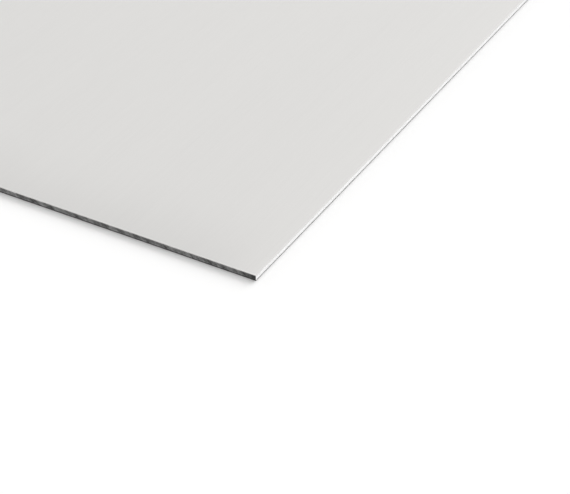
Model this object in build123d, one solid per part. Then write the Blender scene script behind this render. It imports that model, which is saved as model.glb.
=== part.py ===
from build123d import *
import os

# A flat aluminium plate, cut to size out of a wider sheet by a guillotine.
# Millimetres, +Z up, its length along Y. The origin is the centre of the underside.

# Size of the cut piece
plate_length = 500.0
plate_width = 300.0
plate_gauge = 3.0

# Every sheared edge: the shoulder at the face that the blade met, the foot at the face that it left
rollover_depth = 0.10  # how far the shoulder is dragged down before the blade bites
rollover_reach = 0.18  # how far in from the edge that shoulder begins
dressed_foot = 0.08  # how far up and in the burr was dressed off, at 45 degrees

# The two long sides, slit with a close blade gap
side_land = 1.5  # the upright land that the blade rubs smooth
side_breakout = 0.08  # how far the torn part below the land leans in

# The two short ends, cut across with a wider blade gap: less land, and a deeper tear
end_land = 1.2
end_breakout = 0.10

# The four corners, blunted with a file after the last cut
corner_radius = 0.3


def sheared_end(span, land, breakout):
    """The five points of one cut end of a section, from the face it met to the other.

    The section is centred on the middle of the gauge, and its end is at half the span.
    """
    edge = span / 2
    face = plate_gauge / 2
    shoulder_start = (edge - rollover_reach, face)
    land_top = (edge, face - rollover_depth)
    land_foot = (edge, face - rollover_depth - land)
    tear_foot = (edge - breakout, dressed_foot - face)
    far_face = (edge - breakout - dressed_foot, -face)
    return shoulder_start, land_top, land_foot, tear_foot, far_face


def sheared_section(span, land, breakout):
    """The section between two parallel cuts, as a face.

    Each cut leaves its rollover on the kept side's top and on the dropped side's
    underside, so the two ends are one outline and the same outline turned half round.
    """
    shoulder_start, *rest_of_end = sheared_end(span, land, breakout)
    shoulder = TangentArc(shoulder_start, rest_of_end[0], tangent=(1, 0))
    kept_end = Wire([shoulder, *Polyline(*rest_of_end).edges()])
    dropped_end = kept_end.rotate(Axis.Z, 180)
    underside = Line(kept_end @ 1, dropped_end @ 0)
    top = Line(dropped_end @ 1, kept_end @ 0)
    outline = [*kept_end.edges(), underside, *dropped_end.edges(), top]
    return make_face(outline)


def make_plate():
    """The two pairs of cuts crossed, inside an outline with blunted corners."""
    middle = (0, 0, plate_gauge / 2)
    across = Plane(origin=middle, x_dir=(1, 0, 0), z_dir=(0, -1, 0))
    along = Plane(origin=middle, x_dir=(0, -1, 0), z_dir=(-1, 0, 0))
    side_section = sheared_section(plate_width, side_land, side_breakout)
    end_section = sheared_section(plate_length, end_land, end_breakout)
    side_cuts = extrude(across * side_section, plate_length / 2, both=True)
    end_cuts = extrude(along * end_section, plate_width / 2, both=True)
    outline = RectangleRounded(plate_width, plate_length, corner_radius)
    blunted = extrude(outline, plate_gauge)
    return side_cuts & end_cuts & blunted


plate = make_plate()
os.makedirs("parts", exist_ok=True)
export_step(plate, "parts/plate.step")
print("plate", plate.bounding_box(), "volume", round(plate.volume, 2))
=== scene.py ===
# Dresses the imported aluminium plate. Lengths in the dictionaries are millimetres, and meshes are metres.
import math
import bpy
import numpy as np
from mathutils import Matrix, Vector


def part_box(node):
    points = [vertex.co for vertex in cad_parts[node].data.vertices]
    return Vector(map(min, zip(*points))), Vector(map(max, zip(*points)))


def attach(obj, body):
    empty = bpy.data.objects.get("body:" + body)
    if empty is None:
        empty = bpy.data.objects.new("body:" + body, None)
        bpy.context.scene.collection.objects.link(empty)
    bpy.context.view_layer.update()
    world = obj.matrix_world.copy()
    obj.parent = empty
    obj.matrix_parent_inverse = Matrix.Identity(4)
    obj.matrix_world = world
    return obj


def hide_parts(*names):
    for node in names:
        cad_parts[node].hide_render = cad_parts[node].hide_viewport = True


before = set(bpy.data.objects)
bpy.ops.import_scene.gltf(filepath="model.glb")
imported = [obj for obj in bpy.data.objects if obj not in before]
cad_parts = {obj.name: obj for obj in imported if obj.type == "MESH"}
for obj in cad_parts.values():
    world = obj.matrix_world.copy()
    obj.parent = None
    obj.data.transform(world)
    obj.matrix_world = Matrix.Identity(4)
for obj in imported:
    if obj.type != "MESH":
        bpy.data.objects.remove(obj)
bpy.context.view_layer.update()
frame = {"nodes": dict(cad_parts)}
millimetre = 0.001
low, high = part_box("plate")
width, length, gauge = [x / millimetre for x in high - low]
print("nodes in the frame:", ", ".join(frame["nodes"]))
print("plate:", round(width, 2), "x", round(length, 2), "x", round(gauge, 2), "mm")

# The camera stands in front and to the right, and looks down past the plate's near right corner.
cameraLook = {
    "fromNearCorner": (382.29, -640.65, 564.14),
    "pitchDown": 36.099,
    "heading": 29.757,
    "lens": 123.3,
    "sensorWidth": 36.0,
    "clip": (10.0, 60000.0),
}


def makeCamera(look):
    nearCorner = (width / 2, -length / 2, 0)
    data = bpy.data.cameras.new("camera")
    data.lens = look["lens"]
    data.sensor_width = look["sensorWidth"]
    data.clip_start, data.clip_end = [x * millimetre for x in look["clip"]]
    camera = bpy.data.objects.new("camera", data)
    camera.location = [(a + b) * millimetre for a, b in zip(nearCorner, look["fromNearCorner"])]
    camera.rotation_euler = (math.radians(90 - look["pitchDown"]), 0, math.radians(look["heading"]))
    bpy.context.scene.collection.objects.link(camera)
    bpy.context.scene.camera = camera


makeCamera(cameraLook)
print("camera placed")


def addNode(tree, kind, inputs=None, **settings):
    # One shader node with its settings made, and each input joined to a socket or set to a value.
    node = tree.nodes.new("ShaderNode" + kind)
    for name, value in settings.items():
        setattr(node, name, value)
    for name, value in (inputs or {}).items():
        if isinstance(value, bpy.types.NodeSocket):
            tree.links.new(value, node.inputs[name])
        else:
            node.inputs[name].default_value = value
    return node


def calc(tree, operation, *values):
    return addNode(tree, "Math", dict(enumerate(values)), operation=operation).outputs[0]


def about(tree, value, middle, swing):
    # The middle plus the swing times how far the value is from a half.
    return calc(tree, "MULTIPLY_ADD", calc(tree, "SUBTRACT", value, 0.5), swing, middle)


def addRamp(tree, value, levels, tint=(1, 1, 1), interpolation="LINEAR"):
    # A grey that follows the levels, each given with the value that it stands at, times a tint.
    ramp = addNode(tree, "ValToRGB", {"Fac": value})
    ramp.color_ramp.interpolation = interpolation
    stops = ramp.color_ramp.elements
    while len(stops) < len(levels):
        stops.new(0.5)
    for stop, (place, level) in zip(stops, levels):
        stop.position = place
        stop.color = [level * x for x in tint] + [1]
    return ramp.outputs["Color"]


# The studio: a white floor under a bright surround, brightest low at the back and darkest behind the
# camera. The three lights are seen by the floor alone, so that the metal mirrors nothing but the floor and
# the surround.
studioLook = {
    "floorSide": 60000.0,
    "floorDrop": 0.02,
    "floorColour": (0.89, 0.89, 0.89),
    "brightSide": (0.203, 0.941, -0.272),
    "surround": [(-1.0, 0.50), (-0.3, 0.63), (0.42, 0.83), (1.0, 0.96)],
    "surroundTint": (1.0, 0.997, 0.992),
    "backdrop": 1.0,
    "lights": {
        "key": {"from": (0.10, 0.885, 0.454), "strength": 1.97, "angle": 40.0},
        "side": {"from": (-0.97, 0.12, 0.2), "strength": 0.35, "angle": 35.0},
        "fill": {"from": (0.0, -0.1, 1.0), "strength": 0.5, "angle": 90.0},
    },
}


def makeFloor(look):
    half = look["floorSide"] / 2 * millimetre
    drop = -look["floorDrop"] * millimetre
    corners = [(-half, -half, drop), (half, -half, drop), (half, half, drop), (-half, half, drop)]
    mesh = bpy.data.meshes.new("floor")
    mesh.from_pydata(corners, [], [(0, 1, 2, 3)])
    material = bpy.data.materials.new("whiteFloor")
    material.use_nodes = True
    shader = material.node_tree.nodes["Principled BSDF"]
    shader.inputs["Base Color"].default_value = (*look["floorColour"], 1)
    shader.inputs["Roughness"].default_value = 1.0
    shader.inputs["Specular IOR Level"].default_value = 0.0
    mesh.materials.append(material)
    floor = bpy.data.objects.new("floor", mesh)
    bpy.context.scene.collection.objects.link(floor)


def makeSurround(look):
    # Brightness is a smooth ramp of the cosine between a direction and the bright side. The camera sees a
    # plain white backdrop instead.
    world = bpy.data.worlds.new("studio")
    world.use_nodes = True
    tree = world.node_tree
    tree.nodes.clear()
    brightSide = Vector(look["brightSide"]).normalized()
    direction = addNode(tree, "TexCoord").outputs["Generated"]
    facing = addNode(tree, "VectorMath", {0: direction, 1: brightSide}, operation="DOT_PRODUCT")
    place = addNode(tree, "MapRange", {"Value": facing.outputs["Value"], "From Min": -1.0})
    levels = [((cosine + 1) / 2, level) for cosine, level in look["surround"]]
    colour = addRamp(tree, place.outputs["Result"], levels, look["surroundTint"], "B_SPLINE")
    light = addNode(tree, "Background", {"Color": colour})
    backdrop = addNode(tree, "Background", {"Color": (1, 1, 1, 1), "Strength": look["backdrop"]})
    seen = addNode(tree, "LightPath").outputs["Is Camera Ray"]
    chosen = addNode(tree, "MixShader", {"Fac": seen, 1: light.outputs[0], 2: backdrop.outputs[0]})
    addNode(tree, "OutputWorld", {"Surface": chosen.outputs[0]})
    bpy.context.scene.world = world


def makeLight(name, look):
    data = bpy.data.lights.new(name, "SUN")
    data.energy = look["strength"]
    data.angle = math.radians(look["angle"])
    light = bpy.data.objects.new(name, data)
    light.rotation_mode = "QUATERNION"
    light.rotation_quaternion = Vector(look["from"]).to_track_quat("Z", "Y")
    light.visible_glossy = False
    bpy.context.scene.collection.objects.link(light)


makeFloor(studioLook)
makeSurround(studioLook)
for name, look in studioLook["lights"].items():
    makeLight(name, look)
bpy.context.scene.view_settings.view_transform = "Standard"
print("studio lit")


# The plate's mesh. Each side's cut has a profile, which is carried round the outline, and two faces close
# it. A set of waves is given by the least and most turns that one makes round the outline, by how much it
# may rise or fall over the gauge, in turns, and by how many there are.
plateShape = {
    "cornerRadius": 0.3,
    "rolloverDepth": 0.10,
    "rolloverReach": 0.18,
    "dressedFoot": 0.08,
    "endLand": 1.2,
    "endBreakout": 0.10,
    "sideLand": 1.5,
    "sideBreakout": 0.08,
    "columnStep": 0.4,
    "cornerColumns": 6,
    "rolloverRows": 3,
    "landRows": 4,
    "tornRows": 7,
    "endWander": 0.16,
    "sideWander": 0.03,
    "endTear": 0.035,
    "sideTear": 0.006,
    "landGroove": 0.006,
    "wanderWaves": {"turns": (60, 260), "rise": 0.0, "count": 14},
    "rippleWaves": {"turns": (500, 1200), "rise": 0.0, "count": 14},
    "rippleShare": 0.3,
    "grooveWaves": {"turns": (400, 1300), "rise": 0.0, "count": 24},
    "tearWaves": {"turns": (300, 1300), "rise": 1.6, "count": 60},
    "seed": 5,
}

# Where the bake's map holds each part, as its lowest and highest v. The cut edges are six strips above the
# faces.
bakeLayout = {
    "margin": 0.008,
    "underside": (0.008, 0.262),
    "top": (0.278, 0.778),
    "strips": (0.794, 0.992),
    "stripGap": 0.005,
}


def outlineColumns(shape):
    # The rounded rectangle, counterclockwise from the front left corner. Each column has a place, an
    # outward direction and four shares, one for each side: front, right, back and left. A share is one
    # along its own side, and passes to the next side by a smooth step round the corner.
    radius = shape["cornerRadius"]
    half = np.array((width / 2 - radius, length / 2 - radius))
    centres = np.array([(-1, -1), (1, -1), (1, 1), (-1, 1)]) * half
    places, directions, shares = [], [], []
    for side in range(4):
        start, end = centres[side], centres[(side + 1) % 4]
        turn = math.radians(90 * side - 90)
        steps = int(round(np.linalg.norm(end - start) / shape["columnStep"]))
        along = np.linspace(0, 1, steps + 1)
        arc = np.linspace(0, 1, shape["cornerColumns"] + 1)[1:-1]
        travel = np.concatenate([along, np.ones(len(arc))])[:, None]
        part = np.concatenate([np.zeros(steps + 1), arc])
        angle = turn + part * math.pi / 2
        outward = np.stack([np.cos(angle), np.sin(angle)], 1)
        ease = part ** 2 * (3 - 2 * part)
        share = np.zeros((len(part), 4))
        share[:, side] = 1 - ease
        share[:, (side + 1) % 4] = ease
        places.append(start + travel * (end - start) + radius * outward)
        directions.append(outward)
        shares.append(share)
    starts = np.cumsum([0] + [len(x) for x in places])
    return np.concatenate(places), np.concatenate(directions), np.concatenate(shares), starts


def cutProfile(land, breakout, shape):
    # The rows of a cut, from the face that the blade met down to the face that it left: an arc for the
    # rollover, an upright land, a torn part that leans in, and the dressed foot. Each row has its set-in
    # from the outline, its height, its share of tear, its nearness to the land's foot and its share of the
    # way through the cut.
    reach, depth, foot = shape["rolloverReach"], shape["rolloverDepth"], shape["dressedFoot"]
    bend = (reach ** 2 + depth ** 2) / (2 * depth)
    sweep = math.asin(reach / bend) * np.linspace(0, 1, shape["rolloverRows"] + 1)
    landTop = gauge - depth
    landFoot = landTop - land
    landHigh = np.linspace(landTop, landFoot, shape["landRows"] + 1)[1:]
    tear = np.linspace(0, 1, shape["tornRows"] + 1)[1:]
    tearHigh = landFoot + tear * (foot - landFoot)
    setIn = np.concatenate([reach - bend * np.sin(sweep), landHigh * 0, tear * breakout, [breakout + foot]])
    height = np.concatenate([gauge - bend * (1 - np.cos(sweep)), landHigh, tearHigh, [0.0]])
    torn = np.concatenate([sweep * 0, landHigh * 0, np.sqrt(tear), [0.0]])
    near = np.clip(np.minimum((landTop - height) / land, (height - foot) / (landFoot - foot)), 0, 1)
    steps = np.hypot(np.diff(setIn), np.diff(height))
    through = np.concatenate([[0.0], np.cumsum(steps)]) / steps.sum()
    return setIn, height, torn, near, through


def cutRows(shares, shape):
    # Every column's rows: the profiles of the four sides, each times the column's share of that side, added
    # up. The back and left sides are the dropped side of their cuts, so their profiles are turned upside
    # down.
    end = cutProfile(shape["endLand"], shape["endBreakout"], shape)
    side = cutProfile(shape["sideLand"], shape["sideBreakout"], shape)
    turned = [[row[::-1] for row in cut] for cut in (end, side)]
    for cut in turned:
        cut[1] = gauge - cut[1]
    return [shares @ np.array(rows) for rows in zip(end, side, *turned)]


def sines(u, v, waves, rng):
    # A sum of sine waves, scaled to about -1 to 1. Each makes a whole number of turns in u, so that it
    # meets itself, and any number in v.
    count = waves["count"]
    turns = rng.integers(*waves["turns"], count)
    rise = rng.uniform(-waves["rise"], waves["rise"], count)
    phase = rng.uniform(0, 2 * math.pi, count)
    total = np.zeros(np.broadcast(u, v).shape)
    for a, b, c in zip(turns, rise, phase):
        total += np.sin(2 * math.pi * (a * u + b * v) + c)
    return total / math.sqrt(2 * count)


def roughenCuts(u, onEnd, setIn, height, torn, near, shape):
    # The land's foot wanders up and down, by long waves and a ripple, and the rows near it move with it.
    # The land is grooved along the blade's travel, and the tear has a coarse slanting grain. Both only cut
    # in.
    wanderBy = onEnd * shape["endWander"] + (1 - onEnd) * shape["sideWander"]
    tearBy = onEnd * shape["endTear"] + (1 - onEnd) * shape["sideTear"]
    rng = np.random.default_rng(shape["seed"])
    wander = sines(u, 0, shape["wanderWaves"], rng)
    wander = wander + shape["rippleShare"] * sines(u, 0, shape["rippleWaves"], rng)
    groove = shape["landGroove"] * (0.5 + 0.5 * sines(u, 0, shape["grooveWaves"], rng)) * near
    grain = tearBy * (0.5 + 0.5 * sines(u, height / gauge, shape["tearWaves"], rng)) * torn
    return setIn + np.maximum(groove * (1 - torn) + grain, 0), height + wanderBy * wander * near


def fillFace(rim, partner):
    # Closes a face from its rim to a spine inside it. Each rim point has a partner on the spine, and two
    # neighbours make a quad with their partners, or a triangle where they share one.
    ring = np.stack([rim, np.roll(rim, -1), np.roll(partner, -1), partner], 1)
    shared = ring[:, 2] == ring[:, 3]
    return ring[~shared], ring[shared, :3]


def closeFaces(places, number):
    # The spine of a face runs along the middle of its length, and ends half a width short of either end. A
    # rim point's partner is straight across from it, or the spine's end where the point is past that. The
    # rounding lets two rim points that face each other share their partner.
    spineEnd = (length - width) / 2
    spine, partner = np.unique(places[:, 1].clip(-spineEnd, spineEnd).round(6), return_inverse=True)
    spines = [np.stack([spine * 0, spine, spine * 0 + z], 1) * millimetre for z in (gauge, 0)]
    top = fillFace(number[:, 0], number.size + partner)
    underside = fillFace(number[:, -1], number.size + len(spine) + partner)
    return spines, {"top": top, "underside": [x[:, ::-1] for x in underside]}


def makePlate(shape, layout):
    # A point is its column's place, less its outward direction times its row's set-in, at its row's height.
    places, outward, shares, starts = outlineColumns(shape)
    setIn, height, torn, near, through = cutRows(shares, shape)
    gaps = np.linalg.norm(np.roll(places, -1, 0) - places, axis=1)
    distance = np.concatenate([[0.0], np.cumsum(gaps)])
    onEnd = shares[:, :1] + shares[:, 2:3]
    setIn, height = roughenCuts(distance[:-1, None] / distance[-1], onEnd, setIn, height, torn, near, shape)
    ring = places[:, None, :] - outward[:, None, :] * setIn[:, :, None]
    grid = np.concatenate([ring, height[:, :, None]], 2) * millimetre
    number = np.arange(height.size).reshape(height.shape)
    after = np.roll(number, -1, 0)
    quads = np.stack([number[:, :-1], number[:, 1:], after[:, 1:], after[:, :-1]], 2).reshape(-1, 4)
    spines, fills = closeFaces(places, number)
    points = np.concatenate([grid.reshape(-1, 3), *spines])
    faces = quads.tolist() + [face for fill in fills.values() for part in fill for face in part.tolist()]
    mesh = bpy.data.meshes.new("cutPlate")
    mesh.from_pydata(points, [], faces)
    mesh.polygons.foreach_set("use_smooth", np.arange(len(faces)) < len(quads))
    # Slot 0 is the rolled faces, slot 1 the sheared ends and slot 2 the slit sides.
    slots = np.zeros(len(faces), np.int32)
    slots[:len(quads)] = np.where(onEnd[:, 0] > 0.5, 1, 2).repeat(height.shape[1] - 1)
    mesh.polygons.foreach_set("material_index", slots)
    onPoints = np.zeros(len(points), np.float32)
    onPoints[:through.size] = through.ravel()
    mesh.attributes.new("through", "FLOAT", "POINT").data.foreach_set("value", onPoints)
    filled = {name: points[np.concatenate([part.ravel() for part in fill])] for name, fill in fills.items()}
    addBakeMap(mesh, height.shape, distance, starts, filled, layout)
    plate = bpy.data.objects.new("cut_plate", mesh)
    bpy.context.scene.collection.objects.link(plate)
    return plate


def addBakeMap(mesh, gridShape, distance, starts, filled, layout):
    # Each short end is a strip, and each long side is two, laid by the distance along the outline in u and
    # by the row in v. A face lies with its length along u.
    margin = layout["margin"]
    columns, rows = gridShape
    longSides = (1, 3)
    middles = [(starts[side] + starts[side + 1]) // 2 for side in longSides]
    bounds = np.sort(np.concatenate([starts, middles]))
    strip = np.searchsorted(bounds, np.arange(columns), "right") - 1
    begin, finish = distance[bounds[strip]], distance[bounds[strip + 1]]
    uNow = (distance[:-1] - begin) / (finish - begin)
    uNext = (distance[1:] - begin) / (finish - begin)
    stripLow, stripHigh = layout["strips"]
    step = (stripHigh - stripLow) / (len(bounds) - 1)
    bottom = (stripLow + strip * step)[:, None]
    v = bottom + np.linspace(0, 1, rows)[None, :] * (step - layout["stripGap"])
    uvs = np.empty((columns, rows - 1, 4, 2))
    uvs[:, :, :2, 0] = uNow[:, None, None]
    uvs[:, :, 2:, 0] = uNext[:, None, None]
    uvs[:, :, 0, 1] = uvs[:, :, 3, 1] = v[:, :-1]
    uvs[:, :, 1, 1] = uvs[:, :, 2, 1] = v[:, 1:]
    parts = [uvs.reshape(-1, 2)]
    for name, places in filled.items():
        share = places[:, :2] / millimetre / (width, length) + 0.5
        across = share[:, 0] if name == "top" else 1 - share[:, 0]
        faceLow, faceHigh = layout[name]
        parts.append(np.stack([1 - share[:, 1], faceLow + across * (faceHigh - faceLow)], 1))
    laid = np.concatenate(parts)
    laid[:, 0] = margin + laid[:, 0] * (1 - 2 * margin)
    bakeMap = mesh.uv_layers.new(name="OFBake")
    bakeMap.uv.foreach_set("vector", laid.astype(np.float32).ravel())


plate = makePlate(plateShape, bakeLayout)
print("plate made:", len(plate.data.polygons), "faces")

# The noises that the shader groups are made of. A scale is in waves per metre, or one where the group has
# drawn the noise out already.
groupNoise = {
    "coarseStreak": {"Scale": 1.0, "Detail": 0.5, "Roughness": 0.5},
    "fineStreak": {"Scale": 1.0, "Detail": 1.0, "Roughness": 0.6},
    "raggedRub": {"Scale": 260.0, "Detail": 3.0},
    "markWobble": {"Scale": 30.0, "Detail": 1.0},
}


def addNoise(tree, vector, name):
    return addNode(tree, "TexNoise", {"Vector": vector, **groupNoise[name]}).outputs["Fac"]


def newGroup(name, vectors, numbers, output):
    # An empty shader group with its named sockets. Gives its tree, the inputs to read and the output to
    # write.
    tree = bpy.data.node_groups.new(name, "ShaderNodeTree")
    for socket in vectors:
        tree.interface.new_socket(socket, in_out="INPUT", socket_type="NodeSocketVector")
    for socket in numbers:
        tree.interface.new_socket(socket, in_out="INPUT", socket_type="NodeSocketFloat")
    tree.interface.new_socket(output, in_out="OUTPUT", socket_type="NodeSocketFloat")
    given = tree.nodes.new("NodeGroupInput").outputs
    result = tree.nodes.new("NodeGroupOutput").inputs[output]
    return tree, given, result


def makeStreaks():
    # Two noises drawn out by the waves per metre on each axis, the second finer by a ratio. Their mix has a
    # mean of a half, and the contrast widens it.
    numbers = ["Finer", "Fine Share", "Contrast"]
    tree, given, result = newGroup("streaks", ["Vector", "Waves"], numbers, "Streak")
    drawn = addNode(tree, "VectorMath", {0: given["Vector"], 1: given["Waves"]}, operation="MULTIPLY")
    finer = addNode(tree, "VectorMath", {0: drawn.outputs[0], "Scale": given["Finer"]}, operation="SCALE")
    coarse = addNoise(tree, drawn.outputs[0], "coarseStreak")
    fine = addNoise(tree, finer.outputs[0], "fineStreak")
    mixed = addNode(tree, "Mix", {"Factor": given["Fine Share"], "A": coarse, "B": fine}).outputs["Result"]
    tree.links.new(about(tree, mixed, 0.5, given["Contrast"]), result)
    return tree


def makeArrisRubAndHighlight():
    # How near a point is to an arris, where a face meets a cut edge. On either, that is the greater of its
    # distance from the outline and its distance from the nearer face. The rub fades to nothing at the
    # reach, and a noise makes its border ragged. The materials use it for a smoother rubbed finish, and for
    # a painted highlight along the arrises.
    numbers = ["Half Width", "Half Length", "Gauge", "Reach", "Ragged"]
    tree, given, result = newGroup("arrisRubAndHighlight", ["Vector"], numbers, "Rub")
    part = addNode(tree, "SeparateXYZ", {"Vector": given["Vector"]}).outputs
    fromSide = calc(tree, "SUBTRACT", given["Half Width"], calc(tree, "ABSOLUTE", part["X"]))
    fromEnd = calc(tree, "SUBTRACT", given["Half Length"], calc(tree, "ABSOLUTE", part["Y"]))
    fromTop = calc(tree, "SUBTRACT", given["Gauge"], part["Z"])
    fromOutline = calc(tree, "MINIMUM", fromSide, fromEnd)
    fromFace = calc(tree, "MINIMUM", part["Z"], fromTop)
    away = calc(tree, "DIVIDE", calc(tree, "MAXIMUM", fromOutline, fromFace), given["Reach"])
    faded = about(tree, addNoise(tree, given["Vector"], "raggedRub"), away, given["Ragged"])
    values = {"Value": faded, "From Min": 1.0, "From Max": 0.0}
    rub = addNode(tree, "MapRange", values, interpolation_type="SMOOTHSTEP").outputs["Result"]
    tree.links.new(rub, result)
    return tree


def makeShearMarks():
    # Regular marks along a cut: half of one plus the cosine of the way along over the pitch, in turns. A
    # slow noise moves each mark a little, so that no two gaps are alike.
    tree, given, result = newGroup("shearMarks", ["Vector"], ["Start", "Pitch", "Wobble"], "Mark")
    along = addNode(tree, "SeparateXYZ", {"Vector": given["Vector"]}).outputs["X"]
    pitches = calc(tree, "DIVIDE", calc(tree, "SUBTRACT", along, given["Start"]), given["Pitch"])
    moved = about(tree, addNoise(tree, given["Vector"], "markWobble"), pitches, given["Wobble"])
    turns = calc(tree, "MULTIPLY", moved, 2 * math.pi)
    tree.links.new(calc(tree, "MULTIPLY_ADD", calc(tree, "COSINE", turns), 0.5, 0.5), result)
    return tree


streaks = makeStreaks()
arrisRubAndHighlight = makeArrisRubAndHighlight()
shearMarks = makeShearMarks()


def newMetal(name):
    # A metal with its shader, the piece's own coordinates and nothing joined yet.
    material = bpy.data.materials.new(name)
    material.use_nodes = True
    tree = material.node_tree
    shader = tree.nodes["Principled BSDF"]
    shader.inputs["Metallic"].default_value = 1.0
    return material, tree, shader, addNode(tree, "TexCoord").outputs["Object"]


def addStreaks(tree, where, look):
    values = {
        "Vector": where,
        "Waves": [1 / (size * millimetre) for size in look["size"]],
        "Finer": look["finer"],
        "Fine Share": look["fineShare"],
        "Contrast": look["contrast"],
    }
    return addNode(tree, "Group", values, node_tree=streaks).outputs["Streak"]


def addArrisRubAndHighlight(tree, where, look):
    values = {
        "Vector": where,
        "Half Width": width / 2 * millimetre,
        "Half Length": length / 2 * millimetre,
        "Gauge": gauge * millimetre,
        "Reach": look["reach"] * millimetre,
        "Ragged": look["ragged"],
    }
    return addNode(tree, "Group", values, node_tree=arrisRubAndHighlight).outputs["Rub"]


def addShearMarks(tree, where, corner, look):
    values = {
        "Vector": where,
        "Start": (corner - look["fromCorner"]) * millimetre,
        "Pitch": look["pitch"] * millimetre,
        "Wobble": look["wobble"],
    }
    return addNode(tree, "Group", values, node_tree=shearMarks).outputs["Mark"]


def addBump(tree, shader, height, look):
    values = {"Height": height, "Distance": look["bumpDepth"] * millimetre, "Strength": look["bumpStrength"]}
    tree.links.new(addNode(tree, "Bump", values).outputs["Normal"], shader.inputs["Normal"])


def nearEdge(tree, coordinate, edge, reach, full=0.0):
    # How near a coordinate is to the edge on either side of the middle. It rises as a square, from nothing
    # at the reach to one where the full effect begins.
    values = {
        "Value": calc(tree, "ABSOLUTE", coordinate),
        "From Min": (edge - reach) * millimetre,
        "From Max": (edge - full) * millimetre,
    }
    near = addNode(tree, "MapRange", values).outputs["Result"]
    return calc(tree, "MULTIPLY", near, near)


def tinted(tree, level, tint):
    return addNode(tree, "VectorMath", {0: tint, "Scale": level}, operation="SCALE").outputs[0]


# The rolled faces: a satin mill finish with a faint grain and fine hairlines along the length, broad bands
# beside them, a few patches of uneven roughness from handling, and a rub along the arrises, smoother and
# brightened as a painted highlight. The face is darkened towards the sheared ends as painted shade, and
# lightened a little towards the slit sides as a painted highlight.
faceLook = {
    "tint": (1.0, 0.993, 0.978),
    "level": 0.895,
    "grain": {"size": (0.7, 70.0, 0.7), "finer": 3.0, "fineShare": 0.45, "contrast": 1.6},
    "grainTone": 0.020,
    "hairlines": {"size": (0.22, 22.0, 0.22), "finer": 2.2, "fineShare": 0.4, "contrast": 2.2},
    "hairlineTone": 0.024,
    "bands": {"size": (14.0, 700.0, 14.0), "finer": 3.0, "fineShare": 0.35, "contrast": 1.4},
    "bandTone": 0.012,
    "endShadeReach": 55.0,
    "endShadeTone": -0.060,
    "sideHighlightReach": 40.0,
    "sideHighlightTone": 0.016,
    "roughness": 0.30,
    "grainRoughness": 0.02,
    "patches": {"size": (60.0, 90.0, 60.0), "finer": 2.5, "fineShare": 0.3, "contrast": 1.8},
    "patchRoughness": 0.05,
    "rub": {"reach": 1.4, "ragged": 0.7},
    "rubHighlightTone": 0.05,
    "rubRoughness": -0.06,
    "hairlineDepth": 0.5,
    "bumpDepth": 0.006,
    "bumpStrength": 0.5,
}


def makeFaceMetal(look):
    material, tree, shader, where = newMetal("millFace")
    grain = addStreaks(tree, where, look["grain"])
    hairlines = addStreaks(tree, where, look["hairlines"])
    bands = addStreaks(tree, where, look["bands"])
    patches = addStreaks(tree, where, look["patches"])
    rub = addArrisRubAndHighlight(tree, where, look["rub"])
    level = about(tree, grain, look["level"], look["grainTone"])
    level = about(tree, bands, level, look["bandTone"])
    level = about(tree, hairlines, level, look["hairlineTone"])
    part = addNode(tree, "SeparateXYZ", {"Vector": where}).outputs
    nearSide = nearEdge(tree, part["X"], width / 2, look["sideHighlightReach"])
    nearEnd = nearEdge(tree, part["Y"], length / 2, look["endShadeReach"])
    # Painted shade: darker towards the sheared ends, less so near the slit sides.
    endShade = calc(tree, "MULTIPLY", nearEnd, calc(tree, "SUBTRACT", 1.0, nearSide))
    level = calc(tree, "MULTIPLY_ADD", endShade, look["endShadeTone"], level)
    # Painted highlight: lighter towards the slit sides.
    level = calc(tree, "MULTIPLY_ADD", nearSide, look["sideHighlightTone"], level)
    # The rub's brightening is a painted highlight along the arrises; its lower roughness below is a rubbed
    # finish.
    level = calc(tree, "MULTIPLY_ADD", rub, look["rubHighlightTone"], level)
    tree.links.new(tinted(tree, level, look["tint"]), shader.inputs["Base Color"])
    rough = about(tree, grain, look["roughness"], look["grainRoughness"])
    rough = about(tree, patches, rough, look["patchRoughness"])
    rough = calc(tree, "MULTIPLY_ADD", rub, look["rubRoughness"], rough)
    tree.links.new(rough, shader.inputs["Roughness"])
    addBump(tree, shader, about(tree, hairlines, grain, look["hairlineDepth"]), look)
    return material


# The cut edges. One ramp gives the level on the way through the cut, from the rollover to the dressed foot.
# On the sheared ends it is painted shade, dark below the rollover; on the slit sides it is bright metal,
# lightened towards the foot as a painted reflection. Another ramp darkens the level at the underside, by the
# height over the gauge, as a painted contact shadow. What makes the cut uneven multiplies both: streaks,
# patches and marks, and finer than those, the scores of the land and the grains of the tear. All but the
# patches run across the gauge and lean with the blade's rake. The rub brightens the arrises as a painted
# highlight.
cutLook = {
    "scores": {"size": (0.22, 0.22, 6.0), "finer": 2.3, "fineShare": 0.4, "contrast": 3.0},
    "grains": {"size": (0.30, 0.30, 0.40), "finer": 2.3, "fineShare": 0.5, "contrast": 6.0},
    "fineDepth": 0.8,
    "marks": {"fromCorner": 2.5, "pitch": 8.7, "wobble": 0.5},
    "patches": {"size": (25.0, 25.0, 25.0), "finer": 3.0, "fineShare": 0.3, "contrast": 3.0},
    "cornerReach": 9.0,
    "cornerFull": 6.0,
    "roughness": 0.38,
    "rub": {"reach": 0.35, "ragged": 0.8},
}
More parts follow.
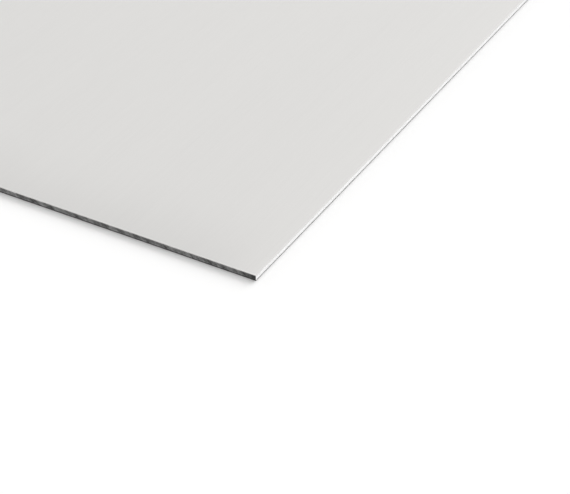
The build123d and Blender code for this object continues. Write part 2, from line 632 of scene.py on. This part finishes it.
# The sheared end's ramp is painted shade, which keeps the cut dark below the rollover and darker still near
# the corner.
endLook = {
    **cutLook,
    "name": "shearedEndPaintedShade",
    "along": "X",
    "lean": 0.7,
    "tint": (1.0, 1.0, 0.99),
    "ramp": [
        (0.0, 0.78),
        (0.03, 0.38),
        (0.06, 0.19),
        (0.44, 0.19),
        (0.455, 0.12),
        (0.48, 0.25),
        (0.76, 0.28),
    ],
    "footShadowRamp": [(0.0, 0.036), (0.027, 0.06), (0.105, 0.107), (0.157, 0.43), (0.241, 1.0)],
    "border": (0.45, 0.48),
    "borderWave": 0.12,
    "middle": 1.0,
    "least": 0.3,
    "streaks": {"size": (3.0, 3.0, 5.0), "finer": 2.6, "fineShare": 0.5, "contrast": 3.6},
    "streakShare": 0.9,
    "patchShare": 0.08,
    "markShare": 0.32,
    "fineShare": 0.45,
    "cornerShare": 0.47,
    "rubHighlightTone": 0.04,
    "tornRoughness": 0.16,
    "streakRoughness": 0.12,
    "bumpDepth": 0.02,
    "bumpStrength": 0.5,
}
# The slit side's ramp is bright metal, lightened towards the foot as a painted reflection, and its middle
# above one is a painted highlight.
sideLook = {
    **cutLook,
    "name": "slitSide",
    "along": "Y",
    "lean": 0.4,
    "tint": (1.0, 1.0, 0.995),
    "ramp": [
        (0.0, 0.79),
        (0.10, 0.81),
        (0.20, 0.89),
        (0.32, 1.0),
        (0.54, 1.0),
        (0.55, 0.90),
        (0.565, 1.0),
    ],
    "footShadowRamp": [(0.0, 0.03), (0.117, 0.12), (0.19, 1.0)],
    "border": (0.545, 0.575),
    "borderWave": 0.06,
    "middle": 1.05,
    "least": 0.8,
    "streaks": {"size": (3.0, 3.0, 8.0), "finer": 2.6, "fineShare": 0.45, "contrast": 3.0},
    "streakShare": 0.05,
    "patchShare": 0.02,
    "markShare": 0.02,
    "fineShare": 0.12,
    "cornerShare": 1.0,
    "rubHighlightTone": 0.02,
    "tornRoughness": 0.10,
    "streakRoughness": 0.08,
    "bumpDepth": 0.008,
    "bumpStrength": 0.35,
}


def makeCutMetal(look):
    material, tree, shader, where = newMetal(look["name"])
    part = addNode(tree, "SeparateXYZ", {"Vector": where}).outputs
    along = part[look["along"]]
    corner = {"X": width, "Y": length}[look["along"]] / 2
    leaning = calc(tree, "MULTIPLY_ADD", part["Z"], look["lean"], along)
    place = addNode(tree, "CombineXYZ", {"X": leaning, "Z": part["Z"]}).outputs[0]
    streak = addStreaks(tree, place, look["streaks"])
    marks = addShearMarks(tree, place, corner, look["marks"])
    patches = addStreaks(tree, where, look["patches"])
    rub = addArrisRubAndHighlight(tree, where, look["rub"])
    # The streaks move the border between land and tear up and down, and leave the arrises where they are.
    through = addNode(tree, "Attribute", attribute_name="through").outputs["Fac"]
    fromMiddle = calc(tree, "ABSOLUTE", calc(tree, "MULTIPLY_ADD", through, 2.0, -1.0))
    wave = calc(tree, "MULTIPLY", calc(tree, "SUBTRACT", 1.0, fromMiddle), look["borderWave"])
    through = about(tree, streak, through, wave)
    borderStart, borderEnd = look["border"]
    values = {"Value": through, "From Min": borderStart, "From Max": borderEnd}
    torn = addNode(tree, "MapRange", values).outputs["Result"]
    # The land is scored across the gauge by the blade, and the torn part is grained.
    scores = addStreaks(tree, place, look["scores"])
    grains = addStreaks(tree, place, look["grains"])
    fine = addNode(tree, "Mix", {"Factor": torn, "A": scores, "B": grains}).outputs["Result"]
    uneven = about(tree, streak, look["middle"], look["streakShare"])
    uneven = about(tree, patches, uneven, look["patchShare"])
    uneven = about(tree, marks, uneven, look["markShare"])
    uneven = about(tree, fine, uneven, look["fineShare"])
    # The ramp by the way through holds the painted shade of the sheared ends and the painted reflection of
    # the slit sides.
    byWay = addRamp(tree, through, look["ramp"])
    # The foot ramp is a painted contact shadow along the underside.
    footShadow = addRamp(tree, calc(tree, "DIVIDE", part["Z"], gauge * millimetre), look["footShadowRamp"])
    level = calc(tree, "MULTIPLY", byWay, footShadow)
    level = calc(tree, "MULTIPLY", level, calc(tree, "MAXIMUM", uneven, look["least"]))
    nearCorner = nearEdge(tree, along, corner, look["cornerReach"], look["cornerFull"])
    byCorner = calc(tree, "MULTIPLY_ADD", nearCorner, look["cornerShare"] - 1, 1.0)
    level = calc(tree, "MULTIPLY", level, byCorner)
    # Painted highlight along the arrises.
    level = calc(tree, "MULTIPLY_ADD", rub, look["rubHighlightTone"], level)
    tree.links.new(tinted(tree, level, look["tint"]), shader.inputs["Base Color"])
    rough = calc(tree, "MULTIPLY_ADD", torn, look["tornRoughness"], look["roughness"])
    tree.links.new(about(tree, streak, rough, look["streakRoughness"]), shader.inputs["Roughness"])
    addBump(tree, shader, about(tree, fine, streak, look["fineDepth"]), look)
    return material


for material in (makeFaceMetal(faceLook), makeCutMetal(endLook), makeCutMetal(sideLook)):
    plate.data.materials.append(material)
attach(plate, "root")
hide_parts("plate")
print("plate finished:", [material.name for material in plate.data.materials])
